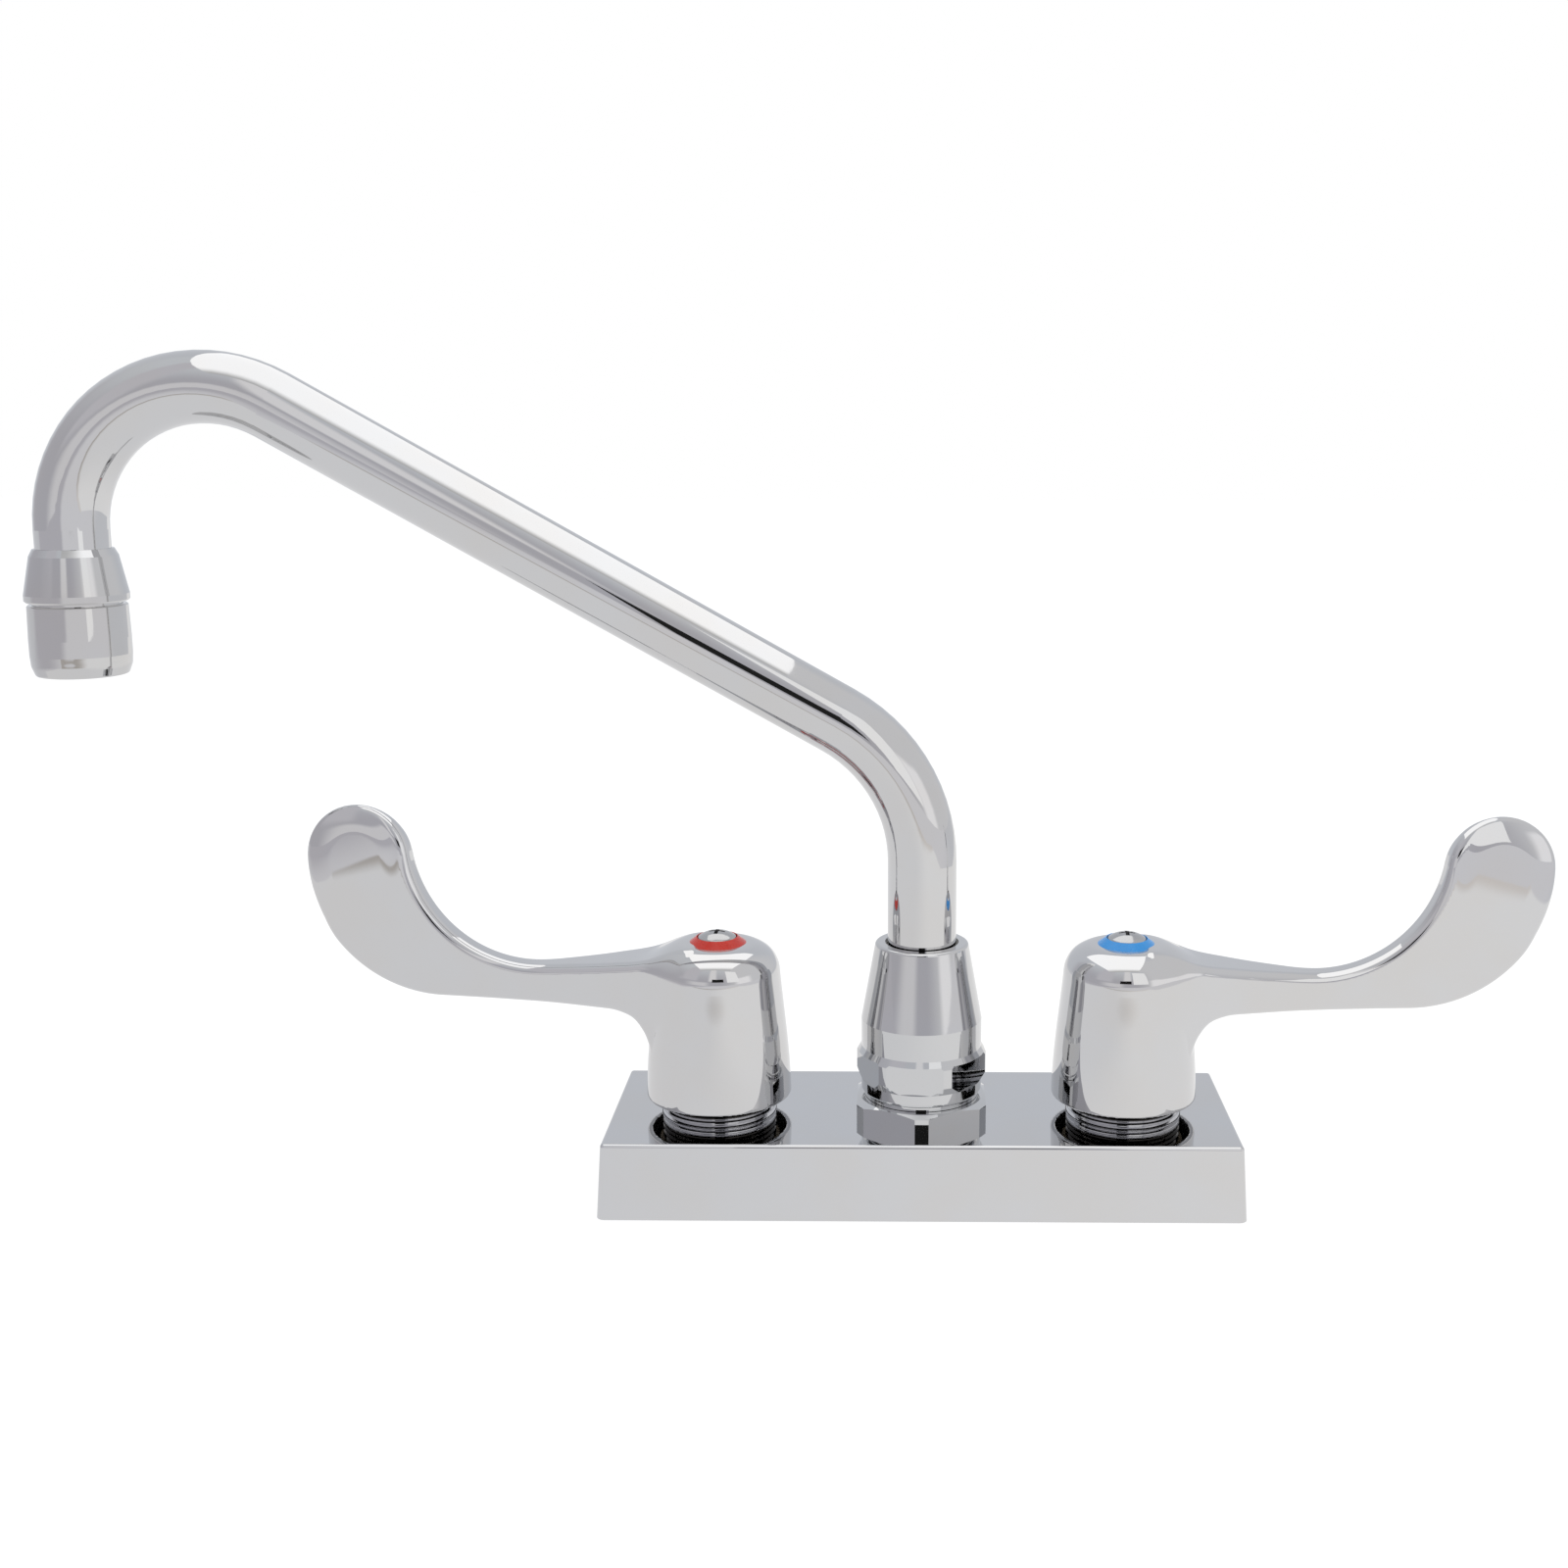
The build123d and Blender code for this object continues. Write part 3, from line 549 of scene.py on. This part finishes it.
# Studio: the faucet stands on a pale sheet in a white room, under one large soft box. A bright card stands
# to the right of the camera, the camera itself is dark, and the room is dimmer in front and to the left.
# Metal shows all of these, while the camera sees only white, and the sheet keeps the faucet's shadow.
world = bpy.data.worlds.new("studio")
bpy.context.scene.world = world
world.use_nodes = True
sky = world.node_tree
sky.nodes.clear()
toward = add_node(sky, "ShaderNodeSeparateXYZ", Vector=sky.nodes.new("ShaderNodeTexCoord").outputs["Generated"])
across, away, rise = toward.outputs
bearing = math_node(sky, "DEGREES", math_node(sky, "ARCTAN2", across, math_node(sky, "MULTIPLY", away, -1.0)))
front_dim = (0.56, 0.555, 0.595, 1)
high_dim = (0.74, 0.765, 0.80, 1)
front_low = (0.82, 0.81, 0.83, 1)
right_wall = (0.80, 0.80, 0.815, 1)
side_bright = (1.10, 1.09, 1.10, 1)
front_pale = (0.94, 0.93, 0.94, 1)
left_pale = (0.68, 0.67, 0.71, 1)
back_wall = (0.70, 0.722, 0.765, 1)
wall_tones = [
    (high_dim, [(rise, 0.3, 0.9)]),
    (front_low, [(rise, 0.24, 0.14), (bearing, -60.0, -34.0), (bearing, -6.0, -20.0)]),
    (right_wall, [(bearing, 8.0, 50.0)]),
    (side_bright, [(bearing, 34.0, 46.0), (bearing, 74.0, 62.0), (rise, 0.4, 0.3)]),
    (front_pale, [(rise, 0.22, 0.32), (bearing, -14.0, -8.0), (bearing, 6.0, 0.0)]),
    (left_pale, [(bearing, -70.0, -58.0), (bearing, -28.0, -38.0), (rise, 0.18, 0.34)]),
    (back_wall, [(bearing, 120.0, 160.0)]),
    (back_wall, [(bearing, -112.0, -132.0)]),
]
tone = front_dim
for wall_tone, ranges in wall_tones:
    share = ramp(sky, *ranges[0])
    for limits in ranges[1:]:
        share = math_node(sky, "MULTIPLY", share, ramp(sky, *limits))
    tone = blend_colour(sky, share, tone, wall_tone)
seen = add_node(sky, "ShaderNodeBackground", Color=tone, Strength=1.0)
plain = add_node(sky, "ShaderNodeBackground", Color=(1, 1, 1, 1), Strength=1.0)
ray = sky.nodes.new("ShaderNodeLightPath")
to_camera = ray.outputs["Is Camera Ray"]
choice = add_node(sky, "ShaderNodeMixShader", i0=to_camera, i1=seen.outputs[0], i2=plain.outputs[0])
sky.links.new(choice.outputs[0], sky.nodes.new("ShaderNodeOutputWorld").inputs["Surface"])


def studio_sheet(name, corners, strength):
    """A flat stage piece with its own material, which the camera doesn't see."""
    mesh = bpy.data.meshes.new(name)
    mesh.from_pydata(corners, [], [(0, 1, 2, 3)])
    sheet = bpy.data.objects.new(name, mesh)
    bpy.context.scene.collection.objects.link(sheet)
    sheet.visible_camera = False
    paint = bpy.data.materials.new(name)
    paint.use_nodes = True
    paint.node_tree.nodes.clear()
    light = add_node(paint.node_tree, "ShaderNodeEmission", Color=(1, 1, 1, 1), Strength=strength)
    surface = paint.node_tree.nodes.new("ShaderNodeOutputMaterial").inputs["Surface"]
    paint.node_tree.links.new(light.outputs[0], surface)
    mesh.materials.append(paint)
    return sheet, light


def upright_card(name, left, right, low, high, depth, strength):
    """A card that faces the faucet, seen only in its metal."""
    corners = [(left, depth, low), (right, depth, low), (right, depth, high), (left, depth, high)]
    sheet = studio_sheet(name, corners, strength)[0]
    sheet.visible_diffuse = False
    sheet.visible_shadow = False
    return sheet


box_left, box_right, box_front, box_back, box_height = -0.31, 0.222, -0.38, 0.47, 0.57
box_strength, edge_strength, edge_width = 1.45, 0.62, 0.19
box_corners = [(box_left, box_front), (box_right, box_front), (box_right, box_back), (box_left, box_back)]
soft_box, box_light = studio_sheet("soft_box", [(x, y, box_height) for x, y in box_corners], box_strength)
box_tree = soft_box.data.materials[0].node_tree
box_where = box_tree.nodes.new("ShaderNodeTexCoord").outputs["Object"]
box_depth = add_node(box_tree, "ShaderNodeSeparateXYZ", Vector=box_where).outputs["Y"]
faded = ramp(box_tree, box_depth, box_front, box_front + edge_width, edge_strength, box_strength)
box_tree.links.new(faded, box_light.inputs["Strength"])
upright_card("bright_card", 0.09, 0.28, 0.11, 0.45, -0.34, 1.15)
upright_card("camera_body", -0.085, 0.075, 0.14, 0.24, -0.434, 0.02)

floor_mesh = bpy.data.meshes.new("floor")
reach = 4.0
floor_corners = [(-reach, -reach, 0), (reach, -reach, 0), (reach, reach, 0), (-reach, reach, 0)]
floor_mesh.from_pydata(floor_corners, [], [(0, 1, 2, 3)])
floor = bpy.data.objects.new("floor", floor_mesh)
bpy.context.scene.collection.objects.link(floor)
floor_paint = bpy.data.materials.new("floor_paint")
floor_paint.use_nodes = True
paint = floor_paint.node_tree
paint.nodes.clear()
spot = add_node(paint, "ShaderNodeSeparateXYZ", Vector=paint.nodes.new("ShaderNodeTexCoord").outputs["Object"])
beside, along, _ = spot.outputs
# In metal the floor shows painted light: emitted tones, lighter to the right where the bright card stands,
# darker towards the sheet's front end, dimmer off the sheet.
sheet_painted_light = blend_colour(paint, ramp(paint, beside, -0.14, 0.12), (0.89, 0.89, 0.90, 1), (1.0, 0.995, 0.99, 1))
sheet_end = blend_colour(paint, ramp(paint, beside, -0.14, 0.16), (0.54, 0.51, 0.48, 1), (0.84, 0.80, 0.77, 1))
sheet_painted_light = blend_colour(paint, ramp(paint, along, -0.385, -0.475), sheet_painted_light, sheet_end)
on_sheet = math_node(paint, "MULTIPLY", ramp(paint, along, -0.49, -0.485), ramp(paint, beside, -0.42, -0.40))
on_sheet = math_node(paint, "MULTIPLY", on_sheet, ramp(paint, beside, 0.36, 0.34))
beyond = blend_colour(paint, ramp(paint, beside, -0.7, -0.3), (0.60, 0.59, 0.63, 1), (0.84, 0.835, 0.86, 1))
beyond = blend_colour(paint, ramp(paint, along, -0.2, 0.3), beyond, (0.74, 0.75, 0.78, 1))
floor_painted_light = blend_colour(paint, on_sheet, beyond, sheet_painted_light)
glow = add_node(paint, "ShaderNodeEmission", Color=(1, 1, 1, 1), Strength=0.89)
matt = add_node(paint, "ShaderNodeBsdfDiffuse", Color=(0.22, 0.22, 0.22, 1))
direct = add_node(paint, "ShaderNodeAddShader", i0=glow.outputs[0], i1=matt.outputs[0])
sheet_light = add_node(paint, "ShaderNodeEmission", Color=floor_painted_light, Strength=1.0)
full = add_node(paint, "ShaderNodeBsdfDiffuse", Color=(0.85, 0.85, 0.85, 1))
path = paint.nodes.new("ShaderNodeLightPath")
in_metal, to_camera = path.outputs["Is Glossy Ray"], path.outputs["Is Camera Ray"]
gloss = add_node(paint, "ShaderNodeMixShader", i0=in_metal, i1=full.outputs[0], i2=sheet_light.outputs[0])
chosen = add_node(paint, "ShaderNodeMixShader", i0=to_camera, i1=gloss.outputs[0], i2=direct.outputs[0])
paint.links.new(chosen.outputs[0], paint.nodes.new("ShaderNodeOutputMaterial").inputs["Surface"])
floor_mesh.materials.append(floor_paint)


# Camera: it stands close in front and a little above, aimed down by ten and a half degrees.
# The picture was cropped off centre, so the lens is shifted by what that crop needs.
focal_pixels = 1850.0
picture_width = 1600.0
centre_pixel = (910.0, 777.0)
turn, tilt, bank = (math.radians(a) for a in (-0.387, 10.644, 0.118))
forward = Vector((math.sin(turn) * math.cos(tilt), math.cos(turn) * math.cos(tilt), -math.sin(tilt)))
level = Vector((math.cos(turn), -math.sin(turn), 0.0))
upright = level.cross(forward)
right_hand = level * math.cos(bank) + upright * math.sin(bank)
upward = upright * math.cos(bank) - level * math.sin(bank)
camera_data = bpy.data.cameras.new("camera")
camera_data.sensor_width = 36.0
camera_data.lens = camera_data.sensor_width * focal_pixels / picture_width
camera_data.shift_x = (picture_width / 2 - centre_pixel[0]) / picture_width
camera_data.shift_y = (centre_pixel[1] - picture_width / 2) / picture_width
camera_data.clip_start = 0.01
camera = bpy.data.objects.new("camera", camera_data)
bpy.context.scene.collection.objects.link(camera)
aim = Matrix((right_hand, upward, -forward)).transposed().to_4x4()
camera.matrix_world = Matrix.Translation((-0.004621, -0.433667, 0.189218)) @ aim
bpy.context.scene.camera = camera
bpy.context.scene.view_settings.view_transform = "Standard"
